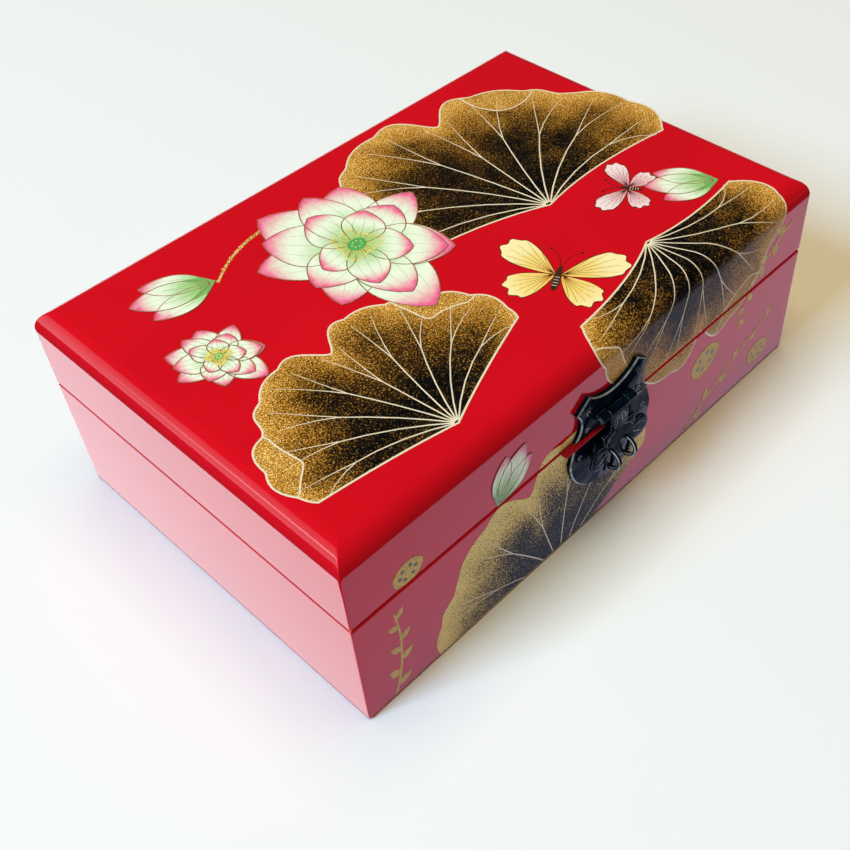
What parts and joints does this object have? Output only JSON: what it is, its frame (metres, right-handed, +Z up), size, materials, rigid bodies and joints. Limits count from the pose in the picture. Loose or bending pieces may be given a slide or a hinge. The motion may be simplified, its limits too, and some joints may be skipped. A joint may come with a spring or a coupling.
{
  "type": "jewelry box",
  "caption": "Low rectangular lacquered jewelry box with a rear-hinged lid, a front hasp with a curled tongue, a mirror under the lid and a lift-out tray.",
  "frame": {"origin": "centre of the underside, where the box stands", "axes": "+X to the right along the front, +Z up, the hasp faces -Y"},
  "size_m": [0.25, 0.1803, 0.09],
  "materials": {
    "lacquer": "high gloss red lacquer over wood",
    "board": "plain fibreboard",
    "felt": "black felt",
    "velvet": "wine red velvet over board",
    "foam_velvet": "wine red velvet over foam",
    "ribbon": "satin ribbon",
    "slip": "thin red felt",
    "mirror": "silvered glass",
    "frame": "dark red lacquer",
    "hasp_metal": "glossy blue-black, worn pale on the edges",
    "hinge_metal": "glossy blue-black"
  },
  "bodies": {
    "base": {"base_bottom_panel": "board", "base_felt": "felt", "base_front_wall": "lacquer", "base_left_wall": "lacquer", "base_rear_wall": "lacquer", "base_right_wall": "lacquer", "clasp_loops": "hasp_metal", "clasp_lower_nails": "hasp_metal", "clasp_lower_plate": "hasp_metal", "hinge_base_screws": "hinge_metal", "hinge_left_base_leaf": "hinge_metal", "hinge_left_pin": "hinge_metal", "hinge_right_base_leaf": "hinge_metal", "hinge_right_pin": "hinge_metal", "joint_slip": "slip", "tray_ledge_left": "velvet", "tray_ledge_right": "velvet", "well_floor_lining": "velvet", "well_front_lining": "velvet", "well_left_lining": "velvet", "well_rear_lining": "velvet", "well_right_lining": "velvet"},
    "lid": {"clasp_pin": "hasp_metal", "clasp_upper_nails": "hasp_metal", "clasp_upper_plate": "hasp_metal", "hinge_left_lid_leaf": "hinge_metal", "hinge_lid_screws": "hinge_metal", "hinge_right_lid_leaf": "hinge_metal", "lid_front_rail": "lacquer", "lid_left_rail": "lacquer", "lid_lining": "velvet", "lid_rear_rail": "lacquer", "lid_right_rail": "lacquer", "lid_top_panel": "lacquer", "mirror": "mirror", "mirror_frame_front": "frame", "mirror_frame_left": "frame", "mirror_frame_rear": "frame", "mirror_frame_right": "frame"},
    "tongue": {"clasp_tongue": "hasp_metal"},
    "tray": {"ring_roll_1": "foam_velvet", "ring_roll_2": "foam_velvet", "ring_roll_3": "foam_velvet", "ring_roll_4": "foam_velvet", "ring_roll_5": "foam_velvet", "ring_roll_6": "foam_velvet", "tray_floor": "velvet", "tray_front_wall": "velvet", "tray_left_wall": "velvet", "tray_long_divider": "velvet", "tray_pull_left": "ribbon", "tray_pull_right": "ribbon", "tray_rear_divider": "velvet", "tray_rear_wall": "velvet", "tray_right_wall": "velvet", "tray_ring_divider": "velvet", "tray_square_divider": "velvet"}
  },
  "joints": [
    {"name": "lid_hinge", "type": "hinge", "parent": "base", "child": "lid", "pos_m": [0, 0.085, 0.055], "axis": [-1, 0, 0], "range_deg": [0, 100]},
    {"name": "clasp_hinge", "type": "hinge", "parent": "lid", "child": "tongue", "pos_m": [0, -0.08635, 0.0603], "axis": [-1, 0, 0], "range_deg": [0, 160]},
    {"name": "tray_lift", "type": "slide", "parent": "base", "child": "tray", "axis": [0, 0, 1], "range_m": [0, 0.02]}
  ]
}
